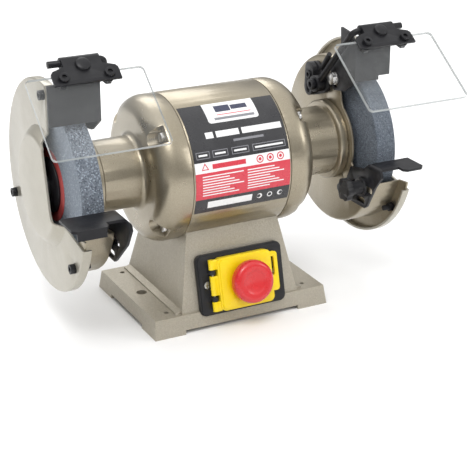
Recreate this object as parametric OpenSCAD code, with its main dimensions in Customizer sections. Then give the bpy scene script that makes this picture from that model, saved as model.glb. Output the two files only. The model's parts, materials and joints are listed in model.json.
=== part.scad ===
// Twin-wheel bench grinder on a cast pedestal, with wheel guards, spark
// arresters, eye shields, tool rests and a flap switch.
// X runs along the spindle, the operator stands on the -Y side and Z is up.
// The origin is on the bench, below the middle of the spindle.

/* [Overall] */
// Height of the spindle axis above the bench
axis_h = 141; // [132:1:172]
// Distance between the middle planes of the two wheels
wheel_span = 294; // [284:1:356]

/* [Wheels and spindle] */
// Wheel diameter
wheel_d = 150; // [125:1:180]
// Wheel thickness
wheel_w = 20; // [16:1:25]
// Spindle diameter at the wheels
spindle_d = 12.7; // [11:0.1:15]
// Spindle diameter inside the motor
shaft_d = 17; // [16:0.5:20]
// Diameter of the wheel flanges
flange_d = 50; // [40:1:58]
// Thickness of the outer wheel flange
flange_t = 4; // [3:0.5:5]
// Thickness of a paper blotter
blotter_t = 0.6; // [0.4:0.1:1]
// Width across the flats of the spindle nuts
nut_af = 19; // [18:0.5:22]
// Height of the spindle nuts
nut_h = 6; // [5:0.5:7]

/* [Motor] */
// Outer radius of the motor shell
shell_r = 68; // [58:1:80]
// Length of the motor shell
shell_len = 98; // [86:1:118]
// Wall of the motor shell
shell_wall = 2.5; // [2:0.5:4]
// Length of an end bell without its neck
bell_len = 30; // [26:1:36]
// Wall of an end bell
bell_wall = 4.5; // [4:0.5:6]
// Radius of the rounded shoulder of an end bell
shoulder_r = 18; // [14:1:20]
// Outer radius of the bearing neck
neck_r = 33; // [30:1:37]
// Outer radius of the ring at the end of the neck
neck_ring_r = 38.5; // [38:0.5:42]
// Width of the ring at the end of the neck
neck_ring_w = 8; // [6:0.5:10]
// Outer diameter of the bearings
bearing_od = 35; // [32:1:38]
// Bore of the bearings
bearing_id = 15; // [14:0.5:16]
// Width of the bearings
bearing_w = 11; // [9:0.5:13]
// Length of the stator core and the rotor
core_len = 38; // [34:1:52]
// Outer radius of the rotor
rotor_r = 33; // [28:1:38]
// Radius of the circle of motor bolts
motor_bolt_ring = 60; // [50:0.5:70]

/* [Guards] */
// Side gap between a wheel and the inner wall of its guard
gap_in = 6; // [5:0.5:8]
// Side gap between a wheel and the outer cover
gap_out = 5; // [4.5:0.5:8]
// Gap between the rim of a wheel and the drum of its guard
gap_rim = 5; // [4:0.5:8]
// Sheet thickness of the guards
guard_t = 2; // [1.5:0.1:2.5]
// Width of the flange that carries the outer cover
guard_flange = 12; // [11:0.5:15]
// Depth of the turned-in lip of the outer cover
lip_depth = 6; // [4:0.5:8]
// Radius of the dome in the outer cover
dome_r = 44; // [40:0.5:50]
// Height of the dome in the outer cover
dome_h = 8; // [8:0.5:12]
// Distance from the spindle axis to the upright front edge of the drum
open_back = 19; // [17:0.5:22]

/* [Spark arresters] */
// Distance of the spark arrester plate in front of the spindle axis
spark_y = 46; // [44:0.5:50]
// Gap between the wheel and the lower edge of the spark arrester
spark_gap = 7; // [4:0.5:9]
// Height of the spark arrester plate
spark_h = 36; // [30:1:40]
// Sheet thickness of the spark arresters and tool rests
bracket_t = 2.4; // [2:0.1:2.6]

/* [Eye shields] */
// Width of an eye shield
shield_w = 104; // [90:1:120]
// Length of an eye shield
shield_l = 78; // [65:1:95]
// Thickness of an eye shield
shield_t = 3; // [2.5:0.5:4]
// Angle of the left eye shield below the horizontal
shield_tilt_left = 40; // [30:1:50]
// Angle of the right eye shield below the horizontal
shield_tilt_right = 35; // [30:1:50]
// Lean of the left shield arm in front of the upright
arm_lean_left = 40; // [36:0.5:44]
// Lean of the right shield arm in front of the upright
arm_lean_right = 43.5; // [36:0.5:44]
// Radius of the shield rod
rod_r = 3; // [2.5:0.1:3.5]
// Distance of the shield rod in front of the spindle axis
rod_y = 48; // [46:1:54]
// Height of the shield rod above the top of the wheel
rod_rise = 46.5; // [44:0.5:54]
// Length of the shield arm from the rod to its pivot
arm_l = 88; // [84:1:94]

/* [Tool rests] */
// Width of a tool rest
rest_w = 53; // [44:1:64]
// Width of the right tool rest, which has no lip
rest_w_right = 42.5; // [36:0.5:54]
// Depth of a tool rest
rest_d = 33; // [26:1:40]
// Gap between the wheel and the tool rest
rest_gap = 3; // [2.5:0.5:5]
// Drop of the tool rest's top below the spindle axis
rest_drop = 2.5; // [0:0.5:4]
// Height of the turned-down front lip
rest_lip = 9; // [6:0.5:12]
// Depth that the right tool rest lacks
rest_short = 4; // [0:0.5:8]
// Diameter of the clamping knob
knob_d = 22; // [20:1:30]

/* [Base] */
// Width across the feet
base_w = 180; // [168:1:216]
// Depth of the base
base_d = 136; // [128:1:164]
// Height of the feet
foot_h = 18; // [14:0.5:22]
// Wall of the casting
cast_t = 5; // [4:0.5:6]
// Width of the pedestal at the bench
ped_w = 127.6; // [112:0.2:134]
// Width of the pedestal under the motor
ped_top_w = 94; // [84:1:96]
// Depth of the pedestal under the motor
ped_top_d = 90; // [80:1:100]
// Diameter of the two bench bolt holes
bench_hole_d = 10; // [8:0.5:11]
// Distance between the two bench bolt holes
bench_span = 147; // [140:0.5:152]
// Diameter of the four corner holes
corner_hole_d = 4.5; // [3:0.5:5]
// Distance between the corner holes along X
corner_span_x = 143; // [140:0.5:150]
// Distance between the corner holes along Y
corner_span_y = 103; // [90:0.5:108]

/* [Switch] */
// Width of the switch bezel
bezel_w = 88; // [80:1:92]
// Height of the switch bezel
bezel_h = 57; // [54:1:60]
// Thickness of the switch bezel
bezel_t = 6; // [4:0.5:8]
// Height of the bezel's middle up the sloping front, from the bench
bezel_up = 41.5; // [40:0.5:44]
// Width of the flap
flap_w = 55; // [50:1:58]
// Height of the flap
flap_h = 49; // [46:1:52]
// Diameter of the stop mushroom
mushroom_d = 40; // [34:1:44]
// Travel of the start and stop buttons
button_travel = 3; // [2:0.5:4]

/* [Hidden] */
$fn = 64;

cream = "#b5aa92";
black = "#26262a";
steel = "#b9bcc0";
stone = "#77808a";

// Clearances: seat for fixed fits, play for moving ones
seat = 0.05;
play = 0.4;

// Spindle line, outwards from the middle
wheel_r = wheel_d / 2;
wheel_in = wheel_span / 2 - wheel_w / 2;
wheel_out = wheel_in + wheel_w;
guard_in = wheel_in - gap_in;
guard_x = guard_in - guard_t;
cover_in = wheel_out + gap_out;
cover_x = cover_in + guard_t;
bell_x = shell_len / 2;
bell_end = bell_x + bell_len;
bearing_x = guard_x - neck_ring_w - bearing_w;
spindle_end = cover_x + dome_h - guard_t - 1.5;
shoulder_x = guard_x - 3;

// Guard circles around the spindle
drum_r = wheel_r + gap_rim + guard_t;
flange_r = drum_r + guard_flange;
cover_r = flange_r + seat + guard_t;
screw_ring = drum_r + guard_flange / 2 - 1;
cover_screw_angles = [98, 218, 338];
guard_bolt_angles = [90, 210, 330];
guard_bolt_ring = (bearing_od / 2 + neck_r) / 2 + 0.5;
guard_head_h = 2;
dome_round = 6;

// Bearings
race_out = bearing_od / 2 - 3;
race_in = bearing_id / 2 + 2.5;
ball_r = (race_out - race_in) / 2 - 0.3;

// Label around the motor shell
label_half = min(47.5, bell_x - 1.5);
label_top = 65;
label_bottom = -23;
label_t = 0.35;

// Pedestal
ped_top_z = axis_h - sqrt(pow(shell_r, 2) - pow(ped_top_d / 2, 2));
ped_d = base_d - 3.4;
lean = atan((ped_d - ped_top_d) / 2 / ped_top_z);
side_lean = atan((ped_w - ped_top_w) / 2 / ped_top_z);
neck_fillet = 5;
pedestal_bolt_x = core_len / 2 + 8;
gland_z = 30;
gland_r = 8;

// Underside of the base
pad_w = 31;
pad_h = 4;
plate_z = 5;
plate_t = 1.5;
plate_screw_x = ped_w / 2 - 10;
plate_screw_y = ped_d / 2 - 17;

// Spark arrester, tool rest and shield lines
leg_out = guard_x - play;
leg_in = leg_out - bracket_t;
rest_z = axis_h - rest_drop;
rest_back = -(wheel_r + rest_gap);
rest_front = rest_back - rest_d;
slot_drop_left = 33;
slot_drop_right = 28.5;
low_slot = 13;
slot_w = 7;
stud_r = 3;
knob_y = -66;
knob_gap = 0.3;
knob_back = 14;
spark_z = axis_h + sqrt(pow(wheel_r + spark_gap, 2) - pow(spark_y, 2));
spark_bolt_y = -14;
spark_bolt_z = axis_h + wheel_r - 11;
slot_r = 3.3;
mid_x = wheel_span / 2 - 3;
pivot_y = -rod_y + arm_l * sin(arm_lean_left);
pivot_z = axis_h + wheel_r + rod_rise - arm_l * cos(arm_lean_left);
pivot_r = 3;
arm_x = leg_in - rod_r - 2.6;
arm_bend = 7;
clamp_t = 9;
clamp_eye_t = 4;
clamp_bolt = [pivot_y + 16.5, pivot_z + 5];
clamp_slot = [pivot_y + 17.5, pivot_z - 8.5];
clamp_stub = [pivot_y - 1, pivot_z + 19];
clamp_stub_r = 2.4;
clamp_stub_l = 15;

// Shield bracket, measured from the rod down the shield
barrel_r = rod_r + 2;
bracket_half = 17;
wing_half = 29.5;
shield_start = 14.2;
shield_screw_s = 18.5;
shield_screw_x = 20;

// Switch, measured on the sloping front
switch_x = 1;
flap_out = 17;
flap_back = bezel_t + 1;
hinge_x = -flap_w / 2 - 4;
hinge_out = 11;
knuckle_r = 3;
button_w = 15;
button_h = 22;
start_top = 2;
stop_top = 7.4;
mushroom_x = 1.5;
mushroom_foot = stop_top + play;
button_gap = 4;
bezel_screw_x = 34.5;
bezel_screw_deep = 3.6;
clip_w = 9;
clip_t = 3;

function side(s, left, right) = s < 0 ? left : right;
function slot_z(s) = axis_h - side(s, slot_drop_left, slot_drop_right);
function arm_lean(s) = side(s, arm_lean_left, arm_lean_right);
function shield_tilt(s) = side(s, shield_tilt_left, shield_tilt_right);
function rod_at(s) = [pivot_y - arm_l * sin(arm_lean(s)), pivot_z + arm_l * cos(arm_lean(s))];

// Helpers

module on_side(s) {
    if (s < 0) mirror([1, 0, 0]) children();
    else children();
}

module both_sides() {
    children();
    mirror([1, 0, 0]) children();
}

// a solid of revolution about the spindle, from points [distance along X, radius]
module turned(points) {
    translate([0, 0, axis_h]) rotate([90, 0, 90]) rotate_extrude($fn = 96)
        polygon([for (p = points) [p[1], p[0]]]);
}

module rod_x(x0, x1, r, y = 0, z = 0) {
    translate([min(x0, x1), y, z]) rotate([0, 90, 0]) cylinder(h = abs(x1 - x0), r = r);
}

module ring_x(x0, x1, r_out, r_in, y = 0, z = 0) {
    difference() {
        rod_x(x0, x1, r_out, y, z);
        rod_x(x0 - 1, x1 + 1, r_in, y, z);
    }
}

// a plate across X from an outline [y, height above the axis]
module plate_x(x0, x1, points) {
    translate([x0, 0, axis_h]) rotate([90, 0, 90]) linear_extrude(x1 - x0) polygon(points);
}

function arc(cx, cy, r, a0, a1, n = 12) =
    [for (i = [0:n]) [cx + r * cos(a0 + (a1 - a0) * i / n), cy + r * sin(a0 + (a1 - a0) * i / n)]];

module hex_x(x0, x1, af, y, z) {
    translate([min(x0, x1), y, z]) rotate([0, 90, 0])
        cylinder(h = abs(x1 - x0), r = af / sqrt(3), $fn = 6);
}

module tapered(w0, w1, d0, d1, z0, z1) {
    intersection() {
        rotate([90, 0, 0]) linear_extrude(max(d0, d1) * 2, center = true)
            polygon([[-w0 / 2, z0], [w0 / 2, z0], [w1 / 2, z1], [-w1 / 2, z1]]);
        rotate([90, 0, 90]) linear_extrude(max(w0, w1) * 2, center = true)
            polygon([[-d0 / 2, z0], [d0 / 2, z0], [d1 / 2, z1], [-d1 / 2, z1]]);
    }
}

// frame on the sloping front: X across, Y up the slope, Z outwards
module on_front() {
    translate([switch_x, -ped_d / 2, 0]) rotate([90 - lean, 0, 0])
        translate([0, bezel_up, 0]) children();
}

module rounded(w, h, r) {
    hull() for (x = [-1, 1], y = [-1, 1])
        translate([x * (w / 2 - r), y * (h / 2 - r)]) circle(r = r, $fn = 32);
}

// Base

module pedestal_hollow() {
    w1 = ped_top_w - 2 * cast_t;
    d1 = ped_top_d - 2 * cast_t;
    top = axis_h - shell_r - cast_t - 2;
    k = top / ped_top_z;
    tapered(ped_w - 2 * cast_t, ped_w - 2 * cast_t + (w1 - ped_w + 2 * cast_t) * k,
        ped_d - 2 * cast_t, ped_d - 2 * cast_t + (d1 - ped_d + 2 * cast_t) * k, -0.01, top);
}

module foot_holes() {
    for (s = [-1, 1]) {
        translate([s * bench_span / 2, 0, -1]) cylinder(h = foot_h + 5, d = bench_hole_d);
        for (y = [-1, 1])
            translate([s * corner_span_x / 2, y * corner_span_y / 2, -1])
                cylinder(h = foot_h + 5, d = corner_hole_d);
    }
}

module fillet_ridges() {
    w0 = ped_w - 2 * foot_h * tan(side_lean);
    for (s = [-1, 1]) on_side(s)
        rotate([90, 0, 0]) linear_extrude(base_d - 16, center = true)
            polygon([[w0 / 2 - 1, foot_h - 1], [w0 / 2 + 6, foot_h - 1],
                [w0 / 2 + 5.4, foot_h + 1.4], [w0 / 2 - 1, foot_h + 3.4]]);
}

module base_casting() {
    color(cream) difference() {
        union() {
            difference() {
                union() {
                    tapered(base_w, base_w - 4, base_d, base_d - 7, 0, foot_h);
                    tapered(ped_w, ped_top_w, ped_d, ped_top_d, 0, ped_top_z);
                    fillet_ridges();
                }
                tapered(base_w - 2 * cast_t, base_w - 2 * cast_t - 4, base_d - 2 * cast_t,
                    base_d - 2 * cast_t - 7, -0.01, foot_h - cast_t);
                pedestal_hollow();
                translate([-base_w / 2 + pad_w, -base_d, -1])
                    cube([base_w - 2 * pad_w, base_d * 2, pad_h + 1]);
                translate([-base_w, -base_d / 2 + pad_w, -1])
                    cube([base_w * 2, base_d - 2 * pad_w, pad_h + 1]);
            }
            for (s = [-1, 1]) {
                translate([s * bench_span / 2, 0, 0]) cylinder(h = foot_h - 2, r = bench_hole_d / 2 + 4);
                for (y = [-1, 1])
                    translate([s * plate_screw_x, y * plate_screw_y, plate_z + plate_t])
                        cylinder(h = foot_h - plate_z, r = 5);
            }
        }
        rod_x(-base_w, base_w, shell_r + seat, 0, axis_h);
        foot_holes();
        for (s = [-1, 1], y = [-1, 1])
            translate([s * plate_screw_x, y * plate_screw_y, 0]) cylinder(h = foot_h, r = 2 + seat);
        on_front() translate([0, 0, -cast_t * 2]) linear_extrude(cast_t * 4) {
            square([48, 46], center = true);
            for (x = [-1, 1]) translate([x * bezel_screw_x, 0]) circle(r = 2 + seat);
        }
        on_front() linear_extrude(foot_h) rounded(bezel_w + 2 * play, bezel_h + 2 * play, 6 + play);
        translate([0, ped_d, gland_z]) rotate([90, 0, 0]) cylinder(h = ped_d, r = gland_r + seat);
        for (s = [-1, 1]) translate([s * pedestal_bolt_x, 0, 40]) cylinder(h = axis_h, r = 3 + seat);
    }
}

module base_plate() {
    color(steel) difference() {
        translate([-ped_w / 2 + 2.5, -ped_d / 2 + 6, plate_z])
            cube([ped_w - 5, ped_d - 12, plate_t]);
        for (s = [-1, 1], y = [-1, 1])
            translate([s * plate_screw_x, y * plate_screw_y, 0]) cylinder(h = foot_h, r = 2 + seat);
        for (x = [-40:8:40], y = [-1, 1])
            translate([x, y * 26, 0]) linear_extrude(foot_h) rounded(4, 22, 1.9);
    }
}

module base_plate_screws() {
    color(steel) for (s = [-1, 1], y = [-1, 1])
        translate([s * plate_screw_x, y * plate_screw_y, 0]) {
            translate([0, 0, plate_z]) cylinder(h = 10, r = 2);
            difference() {
                translate([0, 0, plate_z - 2.2]) cylinder(h = 2.2, r = 3.8);
                translate([-0.5, -5, plate_z - 2.3]) cube([1, 10, 1]);
                translate([-5, -0.5, plate_z - 2.3]) cube([10, 1, 1]);
            }
        }
}

module run_capacitor() {
    color(black) {
        rod_x(-30, 26, 15, 24, 30);
        for (y = [-4, 4]) translate([26, 24 + y - 3, 28]) cube([7, 6, 1]);
    }
}

module capacitor_strap() {
    color(steel) difference() {
        union() {
            ring_x(-8, 8, 16.2, 15 + seat, 24, 30);
            translate([-8, 14, plate_z + plate_t]) cube([16, 20, 30 - 15 - plate_z - plate_t]);
        }
        rod_x(-20, 20, 15 + seat, 24, 30);
        translate([-5, 10, plate_z + 4]) cube([10, 30, 3]);
    }
}

module cord_gland() {
    y0 = ped_d / 2 - gland_z * tan(lean);
    color(black) translate([0, y0, gland_z]) rotate([-90, 0, 0]) difference() {
        union() {
            translate([0, 0, -cast_t - 4]) cylinder(h = cast_t + 8, r = gland_r);
            translate([0, 0, 2.4]) cylinder(h = 3, r = 12 / cos(30), $fn = 6);
            translate([0, 0, 5.4]) cylinder(h = 9, r = 10.5);
            translate([0, 0, 14.4]) cylinder(h = 4, r1 = 10.5, r2 = 7.5);
            translate([0, 0, -cast_t - 5.6]) cylinder(h = 3, r = 12 / cos(30), $fn = 6);
        }
        translate([0, 0, -20]) cylinder(h = 60, r = 4);
    }
}

// Motor

module motor_shell() {
    color(cream) difference() {
        ring_x(-bell_x, bell_x, shell_r, shell_r - shell_wall, 0, axis_h);
        for (s = [-1, 1]) translate([s * pedestal_bolt_x, 0, 40]) cylinder(h = axis_h / 2, r = 3 + seat);
    }
}

module pedestal_bolts() {
    z1 = axis_h - shell_r + shell_wall + 4;
    z0 = axis_h - shell_r - cast_t - 2;
    color(steel) for (s = [-1, 1]) translate([s * pedestal_bolt_x, 0, 0]) {
        translate([0, 0, z0]) cylinder(h = z1 - z0, r = 3);
        translate([0, 0, z0 - 5]) cylinder(h = 5, r = 10 / sqrt(3), $fn = 6);
        translate([0, 0, z1 - 3.5]) difference() {
            cylinder(h = 3.5, r = 10 / sqrt(3), $fn = 6);
            cylinder(h = 9, r = 3, center = true);
        }
    }
}

module data_label() {
    color("white") translate([0, 0, axis_h]) rotate([0, 90, 0]) translate([0, 0, -label_half])
        rotate_extrude(angle = label_top - label_bottom, start = 270 - label_top)
            translate([shell_r + seat, 0]) square([label_t, 2 * label_half]);
}

module bolt_circle(r) {
    for (a = [45, 135, 225, 315])
        translate([0, r * cos(a), axis_h + r * sin(a)]) children();
}

module stator_core() {
    color(steel) difference() {
        ring_x(-core_len / 2, core_len / 2, shell_r - shell_wall - seat, rotor_r + 0.5, 0, axis_h);
        bolt_circle(motor_bolt_ring) rod_x(-core_len, core_len, 5);
        bolt_circle(motor_bolt_ring + 6) rod_x(-core_len, core_len, 5);
        for (a = [0:15:345]) translate([0, 0, axis_h]) rotate([a, 0, 0])
            translate([-core_len, rotor_r + 3, -1.4]) cube([core_len * 2, 13, 2.8]);
    }
}

module stator_windings() {
    x0 = core_len / 2 + seat;
    r0 = rotor_r + 5;
    r1 = rotor_r + 17;
    color("#a8622c") both_sides() turned(concat([[x0, r0], [x0, r1]],
        arc(x0 + 10, r1 - 5, 5, 90, 0, 6), arc(x0 + 10, r0 + 5, 5, 0, -90, 6)));
}

// half section of the bell: X is the radius, Y runs along the spindle
module bell_outline() {
    ring_x0 = guard_x - neck_ring_w;
    translate([0, bell_x + 0.6]) square([shell_r, bell_len - shoulder_r - 0.6]);
    translate([0, bell_x + 0.6]) square([shell_r - shoulder_r, bell_len - 0.6]);
    translate([shell_r - shoulder_r, bell_end - shoulder_r]) circle(r = shoulder_r);
    translate([0, bell_x + 0.6]) square([neck_r, guard_x - bell_x - 0.6]);
    difference() {
        translate([neck_r - 1, bell_end - 1]) square(neck_fillet + 1);
        translate([neck_r + neck_fillet, bell_end + neck_fillet]) circle(r = neck_fillet);
    }
    polygon([[0, ring_x0 - 1], [neck_ring_r - 1.5, ring_x0 - 1], [neck_ring_r, ring_x0 + 0.5],
        [neck_ring_r, guard_x - 1.5], [neck_ring_r - 1.5, guard_x], [0, guard_x]]);
}

module bell_solid() {
    translate([0, 0, axis_h]) rotate([90, 0, 90]) rotate_extrude($fn = 96) bell_outline();
}

module bell_cavity() {
    r = shoulder_r - bell_wall;
    wide = shell_r - bell_wall - shell_wall;
    translate([0, 0, axis_h]) rotate([90, 0, 90]) rotate_extrude($fn = 96) {
        translate([0, bell_x - 9]) square([wide, bell_len + 9 - bell_wall - r]);
        translate([0, bell_x - 9]) square([wide - r, bell_len + 9 - bell_wall]);
        translate([wide - r, bell_end - bell_wall - r]) circle(r = r);
        polygon([[0, bell_end - bell_wall - 2], [bearing_od / 2 + 8, bell_end - bell_wall - 2],
            [bearing_od / 2 + 3, bearing_x - 18], [0, bearing_x - 18]]);
    }
}

module bell_bosses() {
    bolt_circle(motor_bolt_ring) rod_x(bell_x + 8, bell_end, 9.5);
}

module end_bell(s) {
    pocket_x = bell_end - 13;
    color(cream) on_side(s) difference() {
        union() {
            difference() {
                bell_solid();
                bell_cavity();
            }
            intersection() {
                bell_solid();
                bell_bosses();
            }
            ring_x(bell_x - 5, bell_x + 2, shell_r - shell_wall - seat, shell_r - shell_wall - 4, 0, axis_h);
        }
        bolt_circle(motor_bolt_ring) rod_x(bell_x - 6, bell_end, 2.5 + seat);
        for (a = [45, 135, 225, 315]) translate([pocket_x, 0, axis_h]) rotate([a, 0, 0])
            rotate([90, 0, 90]) linear_extrude(bell_len) polygon(concat([[motor_bolt_ring + 16, 9],
                [motor_bolt_ring - 2, 8]], arc(motor_bolt_ring - 2, 0, 7, 90, 270, 10),
                [[motor_bolt_ring - 2, -8], [motor_bolt_ring + 16, -9]]));
        rod_x(bearing_x, guard_x + 1, bearing_od / 2, 0, axis_h);
        rod_x(0, guard_x, shaft_d / 2 + 1.5, 0, axis_h);
        for (a = guard_bolt_angles) guard_bolt_at(a) rod_x(guard_x - neck_ring_w - 6, guard_x + 1, 2.5);
    }
}

module guard_bolt_at(a) {
    translate([0, guard_bolt_ring * cos(a), axis_h + guard_bolt_ring * sin(a)]) children();
}

module motor_bolts() {
    head_x = bell_end - 13;
    color(steel) bolt_circle(motor_bolt_ring) {
        rod_x(-head_x - 4, head_x, 2.5);
        difference() {
            rod_x(head_x, head_x + 5, 4.4);
            hex_x(head_x + 2, head_x + 6, 4, 0, 0);
        }
        difference() {
            hex_x(-head_x - 4, -head_x, 8, 0, 0);
            rod_x(-head_x - 9, -head_x + 1, 2.5);
        }
    }
}

// Spindle

module spindle() {
    r = spindle_d / 2;
    half = [[0, 0], [0, shaft_d / 2], [bearing_x - 4, shaft_d / 2], [bearing_x - 4, bearing_id / 2],
        [shoulder_x, bearing_id / 2], [shoulder_x, r], [spindle_end - 1, r], [spindle_end, r - 1],
        [spindle_end, 0]];
    color(steel) union() {
        turned(half);
        mirror([1, 0, 0]) turned(half);
    }
}

module rotor() {
    color(steel) difference() {
        union() {
            rod_x(-core_len / 2, core_len / 2, rotor_r, 0, axis_h);
            rod_x(-core_len / 2 - 6, core_len / 2 + 6, rotor_r - 3, 0, axis_h);
        }
        rod_x(-core_len, core_len, shaft_d / 2 + seat, 0, axis_h);
        both_sides() ring_x(core_len / 2, core_len / 2 + 7, rotor_r - 14, shaft_d / 2 + 5, 0, axis_h);
    }
}

module bearing_outer_rings() {
    color(steel) both_sides()
        ring_x(bearing_x, bearing_x + bearing_w, bearing_od / 2 - seat, race_out, 0, axis_h);
}

module bearing_inner_rings() {
    color(steel) both_sides()
        ring_x(bearing_x, bearing_x + bearing_w, race_in, bearing_id / 2 + seat, 0, axis_h);
}

module bearing_balls() {
    pitch = (race_out + race_in) / 2;
    color("silver") both_sides() for (a = [0:40:320])
        translate([bearing_x + bearing_w / 2, pitch * cos(a), axis_h + pitch * sin(a)])
            sphere(r = ball_r, $fn = 24);
}

module wheel(s) {
    color(stone) on_side(s) difference() {
        turned([[wheel_in, 3], [wheel_in, wheel_r - 0.8], [wheel_in + 0.8, wheel_r],
            [wheel_out - 0.8, wheel_r], [wheel_out, wheel_r - 0.8], [wheel_out, 3]]);
        rod_x(wheel_in - 1, wheel_out + 1, spindle_d / 2 + seat, 0, axis_h);
    }
}

module blotters(s) {
    color("#b3272d") on_side(s) for (x = [wheel_in - blotter_t, wheel_out])
        ring_x(x, x + blotter_t, flange_d / 2 + 8, spindle_d / 2 + seat, 0, axis_h);
}

module inner_flanges() {
    x0 = guard_in + guard_head_h + 1;
    x1 = wheel_in - blotter_t;
    r = flange_d / 2;
    color(steel) both_sides() difference() {
        turned([[shoulder_x, 0], [shoulder_x, spindle_d / 2 + 3], [x0, spindle_d / 2 + 3],
            [x0, r - 1], [x0 + 0.8, r], [x1, r], [x1, r - 8], [x1 - 1, r - 9], [x1 - 1, 0]]);
        rod_x(shoulder_x - 1, x1 + 1, spindle_d / 2 + seat, 0, axis_h);
    }
}

module outer_flanges() {
    x0 = wheel_out + blotter_t;
    r = flange_d / 2;
    color(steel) both_sides() difference() {
        turned([[x0 + 1, 0], [x0 + 1, r - 9], [x0, r - 8], [x0, r], [x0 + flange_t - 2, r],
            [x0 + flange_t, r - 3], [x0 + flange_t, 0]]);
        rod_x(x0 - 1, x0 + flange_t + 1, spindle_d / 2 + seat, 0, axis_h);
    }
}

module spindle_nuts() {
    x0 = wheel_out + blotter_t + flange_t;
    color(steel) both_sides() difference() {
        intersection() {
            hex_x(x0, x0 + nut_h, nut_af, 0, axis_h);
            turned([[x0, 0], [x0, nut_af], [x0 + nut_h - 3, nut_af * 0.62],
                [x0 + nut_h, nut_af * 0.49], [x0 + nut_h, 0]]);
        }
        rod_x(x0 - 1, x0 + nut_h + 1, spindle_d / 2 + seat, 0, axis_h);
    }
}

// Guards

// the part of the drum and cover that is cut away in front
function opening(back, edge, end_z) = concat([[-cover_r - 20, end_z], [-cover_r - 20, cover_r + 20],
    [-back, cover_r + 20]], edge);
guard_edge = [[-open_back, 52], [-open_back - 1.4, 43], [-open_back - 5, 36], [-42.5, -12.6],
    [-46.5, -18], [-53, -22.3], [-61, -25.5]];
cover_edge = [[4 - open_back, 48], [2.4 - open_back, 44], [-open_back - 2, 41],
    [-open_back - 14, -15], [-open_back - 17, -20], [-66, -26]];

module guard(s) {
    color(cream) on_side(s) difference() {
        union() {
            difference() {
                union() {
                    turned([[guard_x, 0], [guard_x, drum_r - 3], [guard_x + 1, drum_r - 0.8],
                        [guard_x + 3, drum_r], [cover_in, drum_r], [cover_in, 0]]);
                    rod_x(cover_in - guard_t, cover_in, flange_r, 0, axis_h);
                }
                rod_x(guard_in, cover_in + 1, drum_r - guard_t, 0, axis_h);
                plate_x(guard_x - 5, cover_in + 5, opening(open_back, guard_edge, -19));
            }
            rod_x(guard_x, guard_in, neck_ring_r + 5.5, 0, axis_h);
        }
        rod_x(guard_x - 1, guard_in + 1, spindle_d / 2 + 3 + play, 0, axis_h);
        for (a = guard_bolt_angles) guard_bolt_at(a) rod_x(guard_x - 1, guard_in + 1, 2.5 + seat);
        for (a = cover_screw_angles) cover_screw_at(a)
            rod_x(cover_in - guard_t - 1, cover_in + 1, 2.5 + seat);
        rod_x(guard_x - 1, guard_in + 1, stud_r + seat, knob_y, slot_z(s));
        rod_x(guard_x - 1, guard_in + 1, 3 + seat, spark_bolt_y, spark_bolt_z);
        rod_x(guard_x - 1, guard_in + 1, 2.5 + seat, clamp_bolt[0], clamp_bolt[1]);
        rod_x(guard_x - 1, guard_in + 1, pivot_r + seat, pivot_y, pivot_z);
    }
}

module cover_screw_at(a) {
    translate([0, screw_ring * cos(a), axis_h + screw_ring * sin(a)]) children();
}

module guard_bolts() {
    color(steel) both_sides() for (a = guard_bolt_angles) guard_bolt_at(a) {
        rod_x(guard_x - neck_ring_w - 4, guard_in, 2.5 - seat);
        difference() {
            rod_x(guard_in, guard_in + guard_head_h, 4.2);
            hex_x(guard_in + guard_head_h - 1.2, guard_in + guard_head_h + 1, 3, 0, 0);
        }
    }
}

// the dome's section from the plane x, with a 45 degree flank and a shoulder of radius r
function dome(x, r) = let (
    centre = cover_x + dome_h - dome_round,
    foot = dome_r + r * sin(45) + centre + r * cos(45) - x)
    concat([[x - 1, 0], [x - 1, foot], [x, foot]], arc(centre, dome_r, r, 45, 0, 5), [[centre + r, 0]]);

module cover(s) {
    color(cream) on_side(s) difference() {
        union() {
            turned([[cover_in - lip_depth, 0], [cover_in - lip_depth, cover_r],
                [cover_x - 1.4, cover_r], [cover_x - 0.4, cover_r - 0.5], [cover_x, cover_r - 1.6],
                [cover_x, 0]]);
            turned(dome(cover_x, dome_round));
        }
        turned([[cover_in - lip_depth - 1, 0], [cover_in - lip_depth - 1, cover_r - guard_t],
            [cover_in, cover_r - guard_t], [cover_in, 0]]);
        turned(dome(cover_in, dome_round - guard_t));
        plate_x(cover_in - lip_depth - 5, cover_x + dome_h + 5,
            opening(open_back - 4, cover_edge, -34));
        for (a = cover_screw_angles) cover_screw_at(a) rod_x(cover_in - 1, cover_x + 1, 2.5 + seat);
    }
}

module cover_screws() {
    tail = cover_in - guard_t;
    color(black) both_sides() for (a = cover_screw_angles) cover_screw_at(a) {
        rod_x(tail - 10, cover_x, 2.5);
        difference() {
            rod_x(cover_x, cover_x + 4.6, 4.3);
            hex_x(cover_x + 2.2, cover_x + 5, 4, 0, 0);
        }
        difference() {
            hex_x(tail - 4, tail, 8, 0, 0);
            rod_x(tail - 5, tail + 1, 2.5);
        }
    }
}

// ---------- spark arresters ----------

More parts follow.
